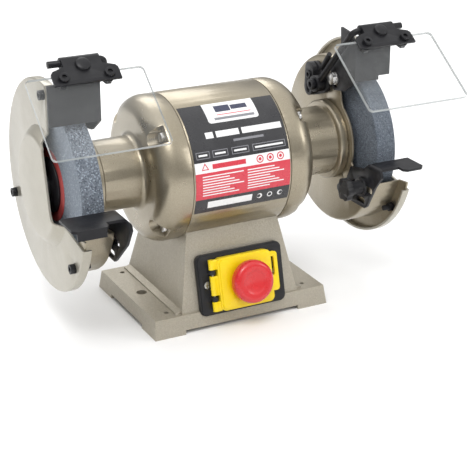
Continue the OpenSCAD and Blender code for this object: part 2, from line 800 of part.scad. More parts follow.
module spark_arrester(s) {
    z = spark_z - axis_h;
    plate_end = side(s, cover_x + 9, cover_x);
    step_w = 12;
    step_h = side(s, 0, 4);
    bz = spark_bolt_z - axis_h;
    color("#3a3a3e") on_side(s) difference() {
        union() {
            translate([leg_in, -spark_y - bracket_t, spark_z])
                cube([plate_end - leg_in - step_w, bracket_t, spark_h]);
            translate([leg_in, -spark_y - bracket_t, spark_z + step_h])
                cube([plate_end - leg_in, bracket_t, spark_h - step_h]);
            plate_x(leg_in, leg_out, [[-spark_y - bracket_t, z], [-spark_y - bracket_t, z + spark_h],
                [-spark_y + 9, z + spark_h + 9], [-21, z + spark_h + 11], [-22, z + spark_h - 6],
                [-13, bz + 16], [-5, bz + 8], [-4, bz - 8], [-12, bz - 12], [-30, bz - 9]]);
        }
        for (z = [-6, 2.5]) rod_x(leg_in - 1, leg_out + 1, slot_r, spark_bolt_y, spark_bolt_z + z);
        translate([leg_in - 1, spark_bolt_y - slot_r, spark_bolt_z - 6])
            cube([bracket_t + 2, 2 * slot_r, 8.5]);
    }
}

module spark_bolts() {
    color(steel) both_sides() translate([0, spark_bolt_y, spark_bolt_z]) {
        rod_x(leg_in - 0.6, guard_in + 4, 3);
        ring_x(leg_in - 1.6, leg_in - 0.2, 6.2, 3);
        hex_x(leg_in - 5.6, leg_in - 1.6, 10, 0, 0);
        difference() {
            hex_x(guard_in, guard_in + 3.5, 10, 0, 0);
            rod_x(guard_in - 1, guard_in + 5, 3);
        }
    }
}

// ---------- eye shields ----------

module arm_clamp(s) {
    color(black) on_side(s) difference() {
        union() {
            hull() {
                rod_x(guard_x - clamp_eye_t, guard_x, 10, pivot_y, pivot_z);
                rod_x(guard_x - clamp_eye_t, guard_x, 8, clamp_slot[0], clamp_slot[1]);
                rod_x(guard_x - clamp_eye_t, guard_x, 8, clamp_bolt[0] - 3, clamp_bolt[1] + 5);
            }
            hull() {
                rod_x(guard_x - clamp_t, guard_x - 1, 7.5, clamp_slot[0], clamp_slot[1]);
                rod_x(guard_x - clamp_t, guard_x - 1, 7.5, clamp_bolt[0], clamp_bolt[1] + 5);
            }
            translate([guard_x - clamp_stub_r - 0.2, clamp_stub[0], clamp_stub[1]])
                rotate([arm_lean_left, 0, 0]) translate([0, 0, -10])
                    cylinder(h = clamp_stub_l + 10, r = clamp_stub_r);
        }
        rod_x(guard_x - 20, guard_x + 1, pivot_r + seat, pivot_y, pivot_z);
        rod_x(guard_x - 20, guard_x + 1, 2.5 + seat, clamp_bolt[0], clamp_bolt[1]);
        rod_x(guard_x - 20, guard_x - clamp_t + 3, 4.4, clamp_bolt[0], clamp_bolt[1]);
        for (z = [-2, 2]) rod_x(guard_x - 20, guard_x - 2, 3, clamp_slot[0], clamp_slot[1] + z);
        translate([guard_x - 20, clamp_slot[0] - 3, clamp_slot[1] - 2]) cube([18, 6, 4]);
    }
}

module arm_clamp_bolts() {
    head_x = guard_x - clamp_t + 3;
    color(black) both_sides() {
        translate([0, clamp_bolt[0], clamp_bolt[1]]) {
            rod_x(head_x, guard_in + 4, 2.5);
            difference() {
                rod_x(head_x - 4.5, head_x, 4);
                hex_x(head_x - 5, head_x - 2.5, 4, 0, 0);
            }
        }
        translate([0, pivot_y, pivot_z]) {
            rod_x(arm_x - rod_r - 2.4, guard_in + 4, pivot_r);
            difference() {
                rod_x(arm_x - rod_r - 6, arm_x - rod_r - 2.4, 5.4);
                hex_x(arm_x - rod_r - 7, arm_x - rod_r - 4, 5, 0, 0);
            }
        }
    }
}

// the rod runs out along X, then bends back and down to the pivot eye
module shield_arm(s) {
    run_end = mid_x + wing_half - 2;
    color(black) on_side(s) translate([0, rod_at(s)[0], rod_at(s)[1]]) rotate([arm_lean(s), 0, 0]) {
        rod_x(arm_x + arm_bend, run_end, rod_r);
        translate([arm_x + arm_bend, 0, -arm_bend]) rotate([90, 0, 0])
            rotate_extrude(angle = 90, start = 90) translate([arm_bend, 0]) circle(r = rod_r);
        translate([arm_x, 0, -arm_l + 5]) cylinder(h = arm_l - 5 - arm_bend, r = rod_r);
        translate([0, 0, -arm_l]) ring_x(arm_x - rod_r - 2, guard_x - clamp_eye_t - play, 8, pivot_r + seat);
    }
}

// frame at the rod: X across, Y down the shield, Z out of its upper face
module on_shield(s) {
    translate([mid_x, rod_at(s)[0], rod_at(s)[1]]) rotate([180 + shield_tilt(s), 0, 0])
        mirror([0, 0, 1]) children();
}

module shield_bracket(s) {
    color(black) on_side(s) on_shield(s) difference() {
        union() {
            rod_x(-bracket_half, bracket_half, barrel_r);
            translate([0, 0, rod_r]) linear_extrude(2) polygon([[-bracket_half, 0], [bracket_half, 0],
                [bracket_half, 7], [wing_half - 2, 10.5], [wing_half, 13], [wing_half, 24.5],
                [-wing_half, 24.5], [-wing_half, 13], [-wing_half + 2, 10.5], [-bracket_half, 7]]);
            translate([-9, 0, -barrel_r]) cube([18, 11, 2 * barrel_r - 2]);
        }
        rod_x(-bracket_half - 1, bracket_half + 1, rod_r + seat);
        translate([-10, 2, -0.6]) cube([20, 12, 1.2]);
        translate([0, 7, -barrel_r - 1]) cylinder(h = 20, r = 2 + seat);
        for (x = [-1, 1]) translate([x * shield_screw_x, shield_screw_s, 0])
            cylinder(h = 10, r = 2.5 + seat);
    }
}

module shield_screws(s) {
    color(black) on_side(s) on_shield(s) {
        for (x = [-1, 1]) translate([x * shield_screw_x, shield_screw_s, 0]) {
            translate([0, 0, rod_r - shield_t - 6]) cylinder(h = shield_t + 8, r = 2.5);
            translate([0, 0, rod_r + 2]) difference() {
                cylinder(h = 3, r = 4.3);
                translate([0, 0, 1]) cylinder(h = 3, r = 2.3, $fn = 6);
            }
            translate([0, 0, rod_r - shield_t - 5]) difference() {
                union() {
                    cylinder(h = 4, r = 8 / sqrt(3), $fn = 6);
                    translate([0, 0, 4]) cylinder(h = 1, r = 5);
                }
                translate([0, 0, -1]) cylinder(h = 8, r = 2.5);
            }
        }
        translate([0, 7, 0]) {
            translate([0, 0, -barrel_r - 4]) cylinder(h = barrel_r + rod_r + 6, r = 2);
            translate([0, 0, rod_r + 2]) cylinder(h = 2.2, r1 = 6.6, r2 = 6);
            translate([0, 0, rod_r + 4.2]) cylinder(h = 0.8, r1 = 6, r2 = 4);
            translate([0, 0, -barrel_r - 3.2]) difference() {
                cylinder(h = 3.2, r = 7 / sqrt(3), $fn = 6);
                translate([0, 0, -1]) cylinder(h = 6, r = 2);
            }
        }
    }
}

module eye_shield(s) {
    color("lightcyan", 0.3) on_side(s) on_shield(s) translate([0, 0, rod_r - shield_t]) difference() {
        translate([0, shield_start + shield_l / 2, 0]) linear_extrude(shield_t)
            rounded(shield_w, shield_l, 4);
        for (x = [-1, 1]) translate([x * shield_screw_x, shield_screw_s, -1])
            cylinder(h = 10, r = 2.5 + seat);
    }
}

// ---------- tool rests ----------

module slot_x(x0, x1, y0, y1, z, w) {
    translate([x0, y0 + w / 2, z - w / 2]) cube([x1 - x0, y1 - y0 - w, w]);
    rod_x(x0, x1, w / 2, y0 + w / 2, z);
    rod_x(x0, x1, w / 2, y1 - w / 2, z);
}

module tool_rest(s) {
    w = side(s, rest_w, rest_w_right);
    front = side(s, rest_front, rest_front + rest_short);
    leg_front = side(s, rest_front, rest_front + 12);
    x1 = leg_in + w;
    lip_x = leg_in + 20;
    low = slot_z(s) - low_slot - axis_h - 7;
    top = -rest_drop;
    color(black) on_side(s) difference() {
        union() {
            translate([leg_in, front + 10, rest_z - bracket_t]) cube([w, rest_back - front - 10, bracket_t]);
            translate([0, 0, rest_z - bracket_t]) linear_extrude(bracket_t) polygon([[lip_x, rest_back],
                [lip_x, front + 10], [lip_x, front + 3], [lip_x + 3, front], [x1 - 4, front],
                [x1, front + 4], [x1, rest_back]]);
            if (s < 0) translate([lip_x + 3, front, rest_z - rest_lip])
                cube([x1 - lip_x - 7, bracket_t, rest_lip]);
            plate_x(leg_in, leg_out, [[rest_back, top], [leg_front + 8, top], [leg_front + 2, top - 2],
                [leg_front, top - 8], [leg_front + 10, low + 26], [rest_back + 2, low + 3],
                [rest_back + 6, low], [-38, low], [-36, low + 3], [-40, low + 22], [-46, low + 34],
                [rest_back + 10, low + 38], [rest_back, low + 46]]);
        }
        slot_x(leg_in - 1, leg_out + 1, knob_y - 18.5, knob_y + 16, slot_z(s), slot_w);
        slot_x(leg_in - 1, leg_out + 1, knob_y - 7, knob_y + 8, slot_z(s) - low_slot, slot_w - 1);
        translate([leg_in, -200, rest_z]) rotate([-90, 0, 0]) bend_cut(200 + rest_back + 1);
    }
}

// rounds the outside of the bend between the top and the leg
module bend_cut(l) {
    r = 5;
    translate([-1, -1, 0]) linear_extrude(l) difference() {
        square(r + 1);
        translate([r + 1, r + 1]) circle(r = r);
    }
}

// a carriage stud from inside the guard, through the slot in the leg
module rest_studs() {
    color(steel) for (s = [-1, 1]) on_side(s) translate([0, knob_y, slot_z(s)]) {
        rod_x(leg_in - side(s, 5.6, knob_back - 3), guard_in + 1, stud_r);
        rod_x(guard_in, guard_in + 2.6, 6);
    }
}

// a low hexagon nut on the left, a round knob on the right
module rest_knob(s) {
    x1 = leg_in - knob_gap;
    color(black) on_side(s) translate([0, knob_y, slot_z(s)]) difference() {
        if (s < 0) union() {
            rod_x(x1 - 1.4, x1, 7.5);
            hex_x(x1 - 6.4, x1 - 1.4, 11, 0, 0);
        } else union() {
            rod_x(x1 - 1.6, x1, 9.5);
            rod_x(x1 - knob_back, x1 - 1.6, 6.5);
            rod_x(x1 - knob_back - 6, x1 - knob_back, knob_d / 2 - 1.6);
            for (a = [0:60:300]) rotate([a, 0, 0])
                rod_x(x1 - knob_back - 6, x1 - knob_back, 4, knob_d / 2 - 4, 0);
        }
        rod_x(x1 - side(s, 8, knob_back - 2), x1 + 1, stud_r + seat);
    }
}

// Switch

module switch_bezel() {
    color(black) on_front() difference() {
        union() {
            linear_extrude(bezel_t - 1.5) rounded(bezel_w, bezel_h, 6);
            translate([0, 0, bezel_t - 1.6]) linear_extrude(1.6) rounded(bezel_w - 2.4, bezel_h - 2.4, 5);
            for (y = [-12.5, 12.5]) translate([hinge_x, y, 0]) {
                translate([-3, -2, 0]) cube([6, 4, hinge_out]);
                translate([0, 2, hinge_out]) rotate([90, 0, 0]) cylinder(h = 4, r = knuckle_r);
            }
        }
        translate([0, 0, -1]) linear_extrude(bezel_t + 2) square([46, 44], center = true);
        for (x = [-1, 1]) translate([x * bezel_screw_x, 0, -1]) {
            cylinder(h = bezel_t + 2, r = 2 + seat);
            translate([0, 0, bezel_t - bezel_screw_deep + 1]) cylinder(h = 9, r = 4.2);
        }
        translate([hinge_x, 30, hinge_out]) rotate([90, 0, 0]) cylinder(h = 60, r = 1 + seat);
    }
}

module bezel_screws() {
    color(steel) on_front() for (x = [-1, 1]) translate([x * bezel_screw_x, 0, 0]) {
        translate([0, 0, -12]) cylinder(h = 13 + bezel_t - bezel_screw_deep, r = 2);
        translate([0, 0, bezel_t - bezel_screw_deep + 1]) difference() {
            cylinder(h = 1.8, r = 3.6);
            translate([-0.5, -5, 1]) cube([1, 10, 2]);
            translate([-5, -0.5, 1]) cube([10, 1, 2]);
        }
    }
}

module switch_body() {
    color("#1d1d20") on_front() difference() {
        union() {
            translate([0, 0, -26]) linear_extrude(28) rounded(45, 43, 2);
            for (x = [-12, 0, 12]) translate([x - 3, -8, -34]) cube([6, 1, 8]);
        }
        for (x = [-1, 1]) translate([x * (button_w + button_gap) / 2, 0, -8])
            linear_extrude(20) square([button_w + 2 * play, button_h + 2 * play], center = true);
    }
}

module press_button(x, top) {
    z0 = button_travel + 0.6 - 8;
    on_front() translate([x, 0, z0]) {
        linear_extrude(top - z0 - 1) square([button_w, button_h], center = true);
        translate([0, 0, top - z0 - 1]) linear_extrude(1)
            square([button_w - 1.6, button_h - 1.6], center = true);
    }
}

module start_button() {
    color("green") press_button(-(button_w + button_gap) / 2, start_top);
}

module stop_button() {
    color("red") press_button((button_w + button_gap) / 2, stop_top);
}

module flap_pin() {
    color(steel) on_front() translate([hinge_x, 23, hinge_out]) rotate([90, 0, 0]) cylinder(h = 46, r = 1);
}

module switch_flap() {
    w = flap_w;
    h = flap_h;
    tall = flap_out - flap_back;
    color("gold") on_front() difference() {
        union() {
            translate([0, 0, flap_back]) linear_extrude(tall - 2) rounded(w, h, 5);
            translate([0, 0, flap_out - 2.1]) linear_extrude(2.1) rounded(w - 3, h - 3, 4);
            for (y = [-19.5, 0, 19.5]) translate([hinge_x, y, hinge_out]) {
                k = y == 0 ? 9 : 4.5;
                rotate([90, 0, 0]) cylinder(h = 2 * k, r = knuckle_r, center = true);
                translate([0, -k, -1.5]) cube([5, 2 * k, 4]);
            }
            translate([w / 2 - 1, 0, flap_back]) linear_extrude(clip_t) difference() {
                translate([clip_w / 2, 2]) rounded(clip_w + 2, h - 12, 3);
                translate([clip_w / 2 - 0.4, 7]) rounded(4.6, 18, 1.5);
            }
        }
        translate([0, 0, flap_back - 1]) linear_extrude(tall - 1.6) rounded(w - 5, h - 5, 3);
        translate([mushroom_x, 0, 0]) cylinder(h = 40, r = mushroom_d / 2 - 9.6);
        translate([hinge_x, 30, hinge_out]) rotate([90, 0, 0]) cylinder(h = 60, r = 1 + seat);
    }
}

module stop_mushroom() {
    r = mushroom_d / 2;
    z0 = flap_out + button_travel + 0.6;
    color("crimson") on_front() translate([mushroom_x, 0, 0]) rotate_extrude($fn = 96)
        polygon(concat([[0, mushroom_foot], [r - 10, mushroom_foot], [r - 10, z0]],
            arc(r - 2, z0 + 2, 2, -90, 0, 5), arc(r - 5, z0 + 6, 5, 0, 80, 8),
            [[r - 9, z0 + 10.6], [r - 10, z0 + 10], [0, z0 + 10]]));
}

base_casting();
base_plate();
base_plate_screws();
run_capacitor();
capacitor_strap();
cord_gland();
motor_shell();
data_label();
stator_core();
stator_windings();
end_bell(-1);  // end_bell_left
end_bell(1);  // end_bell_right
motor_bolts();
pedestal_bolts();
spindle();
rotor();
bearing_outer_rings();
bearing_inner_rings();
bearing_balls();
wheel(-1);  // wheel_left
wheel(1);  // wheel_right
blotters(-1);  // blotters_left
blotters(1);  // blotters_right
inner_flanges();
outer_flanges();
spindle_nuts();
guard(-1);  // guard_left
guard(1);  // guard_right
guard_bolts();
cover(-1);  // cover_left
cover(1);  // cover_right
cover_screws();
spark_arrester(-1);  // spark_arrester_left
spark_arrester(1);  // spark_arrester_right
spark_bolts();
arm_clamp(-1);  // arm_clamp_left
arm_clamp(1);  // arm_clamp_right
arm_clamp_bolts();
shield_arm(-1);  // shield_arm_left
shield_arm(1);  // shield_arm_right
shield_bracket(-1);  // shield_bracket_left
shield_bracket(1);  // shield_bracket_right
shield_screws(-1);  // shield_screws_left
shield_screws(1);  // shield_screws_right
eye_shield(-1);  // eye_shield_left
eye_shield(1);  // eye_shield_right
tool_rest(-1);  // tool_rest_left
tool_rest(1);  // tool_rest_right
rest_knob(-1);  // rest_knob_left
rest_knob(1);  // rest_knob_right
rest_studs();
switch_bezel();
switch_body();
bezel_screws();
switch_flap();
flap_pin();
stop_mushroom();
start_button();
stop_button();
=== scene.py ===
import json
import math

import bmesh
import bpy
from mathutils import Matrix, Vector

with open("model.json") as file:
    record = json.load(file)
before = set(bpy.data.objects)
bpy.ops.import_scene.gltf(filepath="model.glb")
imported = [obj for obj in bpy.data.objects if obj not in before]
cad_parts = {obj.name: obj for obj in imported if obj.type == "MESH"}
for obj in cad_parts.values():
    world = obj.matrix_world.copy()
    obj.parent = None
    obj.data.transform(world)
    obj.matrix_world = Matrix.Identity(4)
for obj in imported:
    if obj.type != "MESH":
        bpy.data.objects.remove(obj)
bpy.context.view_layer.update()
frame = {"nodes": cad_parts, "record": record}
nodes = frame["nodes"]
scene = bpy.context.scene
sides = ("left", "right")
black = (0, 0, 0)
white = (1, 1, 1)
print("frame loaded:", len(nodes), "nodes")


# shader building blocks; patterns run in object space, in metres
def newMaterial(name):
    mat = bpy.data.materials.new(name)
    mat.use_nodes = True
    tree = mat.node_tree
    tree.nodes.clear()
    out = tree.nodes.new("ShaderNodeOutputMaterial")
    shader = tree.nodes.new("ShaderNodeBsdfPrincipled")
    tree.links.new(shader.outputs[0], out.inputs[0])
    coord = tree.nodes.new("ShaderNodeTexCoord")
    return mat, tree, shader, coord.outputs["Object"]


def noise(tree, coord, scale, detail, rough=0.55):
    n = tree.nodes.new("ShaderNodeTexNoise")
    n.inputs["Scale"].default_value = scale
    n.inputs["Detail"].default_value = detail
    n.inputs["Roughness"].default_value = rough
    tree.links.new(coord, n.inputs["Vector"])
    return n.outputs["Fac"]


def cells(tree, coord, scale, output="Distance", feature="F1"):
    n = tree.nodes.new("ShaderNodeTexVoronoi")
    n.feature = feature
    n.inputs["Scale"].default_value = scale
    tree.links.new(coord, n.inputs["Vector"])
    return n.outputs[output]


def splitColor(tree, value):
    n = tree.nodes.new("ShaderNodeSeparateColor")
    tree.links.new(value, n.inputs[0])
    return n.outputs


def splitVector(tree, value):
    n = tree.nodes.new("ShaderNodeSeparateXYZ")
    tree.links.new(value, n.inputs[0])
    return n.outputs


def ramp(tree, value, stops):
    n = tree.nodes.new("ShaderNodeValToRGB")
    while len(n.color_ramp.elements) < len(stops):
        n.color_ramp.elements.new(0.5)
    for element, (at, color) in zip(n.color_ramp.elements, stops):
        element.position = at
        element.color = (*color, 1)
    tree.links.new(value, n.inputs[0])
    return n.outputs[0]


def grey(level):
    return (level, level, level)


def lerp(a, b, share):
    return tuple(x + (y - x) * share for x, y in zip(a, b))


def maths(tree, kind, a, b):
    n = tree.nodes.new("ShaderNodeMath")
    n.operation = kind
    for socket, value in ((n.inputs[0], a), (n.inputs[1], b)):
        if isinstance(value, (int, float)):
            socket.default_value = value
        else:
            tree.links.new(value, socket)
    return n.outputs[0]


def mix(tree, factor, a, b):
    n = tree.nodes.new("ShaderNodeMix")
    n.data_type = "RGBA"
    for socket, value in ((n.inputs[0], factor), (n.inputs[6], a), (n.inputs[7], b)):
        if isinstance(value, tuple):
            socket.default_value = (*value, 1)
        else:
            tree.links.new(value, socket)
    return n.outputs[2]


def cloudy(tree, pattern, color, darker, lighter, ends=(0.3, 0.7)):
    stops = [(ends[0], lerp(color, black, darker)), (ends[1], lerp(color, white, lighter))]
    return ramp(tree, pattern, stops)


def setColor(tree, shader, color):
    tree.links.new(color, shader.inputs["Base Color"])


def setGloss(tree, shader, pattern, shiny, dull, ends=(0.3, 0.75)):
    level = ramp(tree, pattern, [(ends[0], grey(shiny)), (ends[1], grey(dull))])
    tree.links.new(level, shader.inputs["Roughness"])


def bump(tree, shader, layers):
    last = None
    for height, strength, distance in layers:
        n = tree.nodes.new("ShaderNodeBump")
        n.inputs["Strength"].default_value = strength
        n.inputs["Distance"].default_value = distance
        tree.links.new(height, n.inputs["Height"])
        if last is not None:
            tree.links.new(last, n.inputs["Normal"])
        last = n.outputs[0]
    tree.links.new(last, shader.inputs["Normal"])


# sprayed metallic paint of the motor, guards and covers
champagnePaint = {
    "color": (0.30, 0.258, 0.185),
    "flake": (0.52, 0.47, 0.36),
    "flakeSize": 2600,    # flakes per metre
    "flakeShare": 0.35,
    "metallic": 0.78,
    "roughness": 0.34,
    "orangePeel": 0.10,
    "peelSize": 420,
    "coat": 0.25,
    "coatRoughness": 0.12,
}


def makeChampagne(name, spec):
    mat, tree, shader, co = newMaterial(name)
    flakes = splitColor(tree, cells(tree, co, spec["flakeSize"], output="Color"))
    base = cloudy(tree, noise(tree, co, 14, 4), spec["color"], 0.05, 0.03)
    shade = ramp(tree, flakes[0], [(0.0, black), (1.0, white)])
    flakeMask = maths(tree, "MULTIPLY", shade, spec["flakeShare"])
    setColor(tree, shader, mix(tree, flakeMask, base, spec["flake"]))
    rough = spec["roughness"]
    setGloss(tree, shader, noise(tree, co, 60, 5), rough - 0.04, rough + 0.06)
    shader.inputs["Metallic"].default_value = spec["metallic"]
    shader.inputs["Coat Weight"].default_value = spec["coat"]
    shader.inputs["Coat Roughness"].default_value = spec["coatRoughness"]
    peel = noise(tree, co, spec["peelSize"], 2)
    bump(tree, shader, [(peel, spec["orangePeel"], 0.0004), (flakes[1], 0.05, 0.0002)])
    return mat


# the same paint over the rough skin of the cast base
castPaint = {
    "color": (0.37, 0.335, 0.27),
    "flake": (0.52, 0.48, 0.39),
    "metallic": 0.45,
    "grain": 900,
    "lumpSize": 260,
    "depth": 0.55,
    "roughness": 0.42,
}


def makeCastPaint(name, spec):
    mat, tree, shader, co = newMaterial(name)
    pits = cells(tree, co, spec["grain"], feature="SMOOTH_F1")
    lumps = noise(tree, co, spec["lumpSize"], 4, rough=0.6)
    base = cloudy(tree, noise(tree, co, 18, 4), spec["color"], 0.06, 0.04)
    raised = ramp(tree, pits, [(0.1, black), (0.7, grey(0.5))])
    setColor(tree, shader, mix(tree, raised, base, spec["flake"]))
    rough = spec["roughness"]
    setGloss(tree, shader, lumps, rough - 0.05, rough + 0.12)
    shader.inputs["Metallic"].default_value = spec["metallic"]
    waves = noise(tree, co, 45, 3)
    bump(tree, shader, [(pits, spec["depth"], 0.0005), (lumps, 0.5, 0.0006), (waves, 0.25, 0.002)])
    return mat


# black parts, a little worn along their outer edges
blackPaint = {
    "color": (0.005, 0.005, 0.007), "worn": (0.03, 0.03, 0.034),
    "roughness": 0.42, "grain": 700, "depth": 0.12,
    "gloss": 0.32,                # specular level
    "edges": (0.56, 0.66),        # pointiness where the wear starts and is full
}
arresterPaint = dict(
    blackPaint, color=(0.012, 0.012, 0.014), worn=(0.045, 0.045, 0.048),
    roughness=0.5, grain=500, depth=0.2)
mouldedPlastic = dict(
    blackPaint, color=(0.014, 0.014, 0.016), worn=(0.06, 0.06, 0.06),
    roughness=0.42, grain=1400, depth=0.25)


def edgeWear(tree, edges):
    n = tree.nodes.new("ShaderNodeNewGeometry")
    r = tree.nodes.new("ShaderNodeMapRange")
    r.inputs["From Min"].default_value = edges[0]
    r.inputs["From Max"].default_value = edges[1]
    tree.links.new(n.outputs["Pointiness"], r.inputs["Value"])
    return r.outputs[0]


def makeBlack(name, spec):
    mat, tree, shader, co = newMaterial(name)
    base = cloudy(tree, noise(tree, co, 40, 4), spec["color"], 0, 0.012, ends=(0.3, 0.8))
    chips = ramp(tree, noise(tree, co, 180, 4), [(0.45, black), (0.6, grey(0.5))])
    rubbed = maths(tree, "MULTIPLY", edgeWear(tree, spec["edges"]), chips)
    setColor(tree, shader, mix(tree, rubbed, base, spec["worn"]))
    rough = spec["roughness"]
    setGloss(tree, shader, noise(tree, co, 90, 4), rough - 0.06, rough + 0.08)
    shader.inputs["Specular IOR Level"].default_value = spec["gloss"]
    bump(tree, shader, [(noise(tree, co, spec["grain"], 3), spec["depth"], 0.0003)])
    return mat


# bare and plated metal; turned parts have rings round the spindle, others a fine drawn grain
bareMetal = {
    "color": (0.62, 0.62, 0.63), "roughness": 0.28,
    "turnedGrain": (2200, 60, 60), "drawnGrain": (300, 300, 2000),
}
coreMetal = dict(bareMetal, roughness=0.5)
copperWire = dict(bareMetal, color=(0.55, 0.22, 0.08), roughness=0.3)
dullPlate = dict(bareMetal, roughness=0.4)


def makeMetal(name, spec, tint=white, turned=False):
    mat, tree, shader, co = newMaterial(name)
    rough = spec["roughness"]
    base = tuple(c * t for c, t in zip(spec["color"], tint))
    cloud = noise(tree, co, 120, 5)
    setColor(tree, shader, cloudy(tree, cloud, base, 0.12, 0.06))
    shader.inputs["Metallic"].default_value = 1.0
    stretch = tree.nodes.new("ShaderNodeMapping")
    stretch.inputs["Scale"].default_value = spec["turnedGrain" if turned else "drawnGrain"]
    tree.links.new(co, stretch.inputs["Vector"])
    streak = noise(tree, stretch.outputs[0], 1.0, 3)
    setGloss(tree, shader, streak, rough - 0.06, rough + 0.14, ends=(0.3, 0.7))
    bump(tree, shader, [(streak, 0.12, 0.0002), (cloud, 0.06, 0.0004)])
    return mat


# grinding stone: grains in a bond, with paler flat sides on the coarse wheel
coarseStone = {
    "color": (0.125, 0.150, 0.185), "light": (0.36, 0.41, 0.47), "dark": (0.035, 0.042, 0.058),
    "grain": 1150,       # grains per metre at coarseness 1
    "coarseness": 1.3,
    "flank": 0.42,       # how much paler the sides are
    "roughness": 0.82,
}
fineStone = dict(
    coarseStone, color=(0.105, 0.128, 0.16), light=(0.24, 0.28, 0.33),
    coarseness=0.8, flank=0.0)


def makeStone(name, spec):
    mat, tree, shader, co = newMaterial(name)
    scale = spec["grain"] / spec["coarseness"]
    grains = splitColor(tree, cells(tree, co, scale, output="Color"))
    bonds = cells(tree, co, scale)
    base = cloudy(tree, noise(tree, co, 30, 4), spec["color"], 0.12, 0.05)
    bright = ramp(tree, grains[0], [(0.0, black), (0.62, grey(0.04)), (0.86, grey(0.7)), (1.0, white)])
    color = mix(tree, maths(tree, "MULTIPLY", bright, 0.8), base, spec["light"])
    pores = ramp(tree, grains[1], [(0.0, white), (0.22, grey(0.5)), (0.34, black)])
    color = mix(tree, maths(tree, "MULTIPLY", pores, 0.75), color, spec["dark"])
    facing = tree.nodes.new("ShaderNodeNewGeometry")
    alongX = splitVector(tree, facing.outputs["True Normal"])[0]
    sideways = maths(tree, "MULTIPLY", alongX, alongX)
    flank = ramp(tree, sideways, [(0.4, black), (0.8, grey(spec["flank"]))])
    setColor(tree, shader, mix(tree, flank, color, spec["light"]))
    shader.inputs["Roughness"].default_value = spec["roughness"]
    dents = noise(tree, co, 300, 3)
    bump(tree, shader, [(bonds, 0.8, 0.0006), (grains[2], 0.4, 0.0004), (dents, 0.3, 0.0006)])
    return mat


# moulded caps and the paper rounds; texture is how deep the fine surface grain is
blotter = {"color": (0.46, 0.035, 0.03), "roughness": 0.7, "texture": 0.3, "coat": 0, "uneven": 0.15}
yellowPlastic = {"color": (0.90, 0.66, 0.0), "roughness": 0.32, "texture": 0.06, "coat": 0, "uneven": 0.03}
redPlastic = {"color": (0.62, 0.018, 0.022), "roughness": 0.28, "texture": 0, "coat": 0.2, "uneven": 0.03}
greenPlastic = {"color": (0.02, 0.26, 0.06), "roughness": 0.3, "texture": 0, "coat": 0, "uneven": 0.03}


def makePlastic(name, spec):
    mat, tree, shader, co = newMaterial(name)
    uneven = spec["uneven"]
    setColor(tree, shader, cloudy(tree, noise(tree, co, 50, 4), spec["color"], uneven, uneven * 0.5))
    rough = spec["roughness"]
    setGloss(tree, shader, noise(tree, co, 130, 4), rough - 0.05, rough + 0.07)
    shader.inputs["Coat Weight"].default_value = spec["coat"]
    layers = [(noise(tree, co, 26, 2), 0.05, 0.001)]
    if spec["texture"]:
        layers.append((noise(tree, co, 900, 3), spec["texture"], 0.0003))
    bump(tree, shader, layers)
    return mat


# eye shields: nearly invisible faces, with a rim where the light gathers
clearSheet = {
    "face": 0.035, "faceColor": (0.80, 0.83, 0.83),
    "rim": 0.8, "rimColor": (0.40, 0.43, 0.43),
    "roughness": 0.03,
}


def makeClear(name, spec, part):
    mat, tree, shader, co = newMaterial(name)
    haze = noise(tree, co, 9, 3)
    scratch = noise(tree, co, 900, 2)
    setColor(tree, shader, cloudy(tree, haze, spec[part + "Color"], 0, 0.1, ends=(0.3, 0.8)))
    rough = spec["roughness"]
    setGloss(tree, shader, scratch, rough, rough + 0.08, ends=(0.5, 0.9))
    shader.inputs["Alpha"].default_value = spec[part]
    bump(tree, shader, [(haze, 0.02, 0.001), (scratch, 0.01, 0.0001)])
    return mat


# data label with plain bars instead of words; u runs across it and v up it, both from 0 to 1.
# Printed areas are given as ink, u from, u to, v from, v to.
labelPrint = {
    "black": (0.017, 0.017, 0.020), "white": (0.82, 0.82, 0.82), "red": (0.62, 0.035, 0.06),
    "navy": (0.03, 0.035, 0.075), "ash": (0.22, 0.22, 0.24),
    "panels": [("white", 0, 1, 0.375, 0.466), ("red", 0, 1, 0.14, 0.375),
               ("white", 0.13, 0.60, 0.045, 0.11)],
    "tab": (0.25, 0.78, 0.79, 1.05), "tabRound": 0.03,
    "tabPrint": [("navy", 0.36, 0.52, 0.895, 0.965), ("navy", 0.53, 0.70, 0.905, 0.955),
                 ("red", 0.36, 0.72, 0.862, 0.870), ("ash", 0.32, 0.74, 0.815, 0.840)],
    "title": [("white", 0.17, 0.25, 0.66, 0.715), ("white", 0.28, 0.52, 0.66, 0.715),
              ("white", 0.55, 0.97, 0.66, 0.715), ("ash", 0.44, 0.76, 0.605, 0.625)],
    "boxes": [(0.03, 0.17), (0.20, 0.36), (0.40, 0.58), (0.62, 0.97)], "boxRow": (0.495, 0.555),
    "boxLine": 0.006, "boxInset": 0.025, "boxBar": 0.008,
    "heading": (0.18, 0.53, 0.400, 0.442), "triangle": (0.105, 0.42, 0.045), "triangleHole": 0.62,
    "rounds": (0.68, 0.79, 0.90), "roundRow": 0.42, "roundSize": 0.038, "roundRings": (0.72, 0.42),
    "columns": [(0.07, 0.50), (0.54, 0.93)], "lines": 8, "block": (0.165, 0.355),
    "raggedEnd": 0.05, "lineWeight": 0.2,
    "marks": (0.68, 0.79, 0.90), "markRow": 0.078, "markSize": 0.028, "markHole": 0.019, "markShift": 0.008,
    "fade": 0.06, "roughness": (0.24, 0.34),
}


def boxOf(obj):
    points = [obj.matrix_world @ v.co for v in obj.data.vertices]
    return (Vector(min(p[k] for p in points) for k in range(3)),
            Vector(max(p[k] for p in points) for k in range(3)))


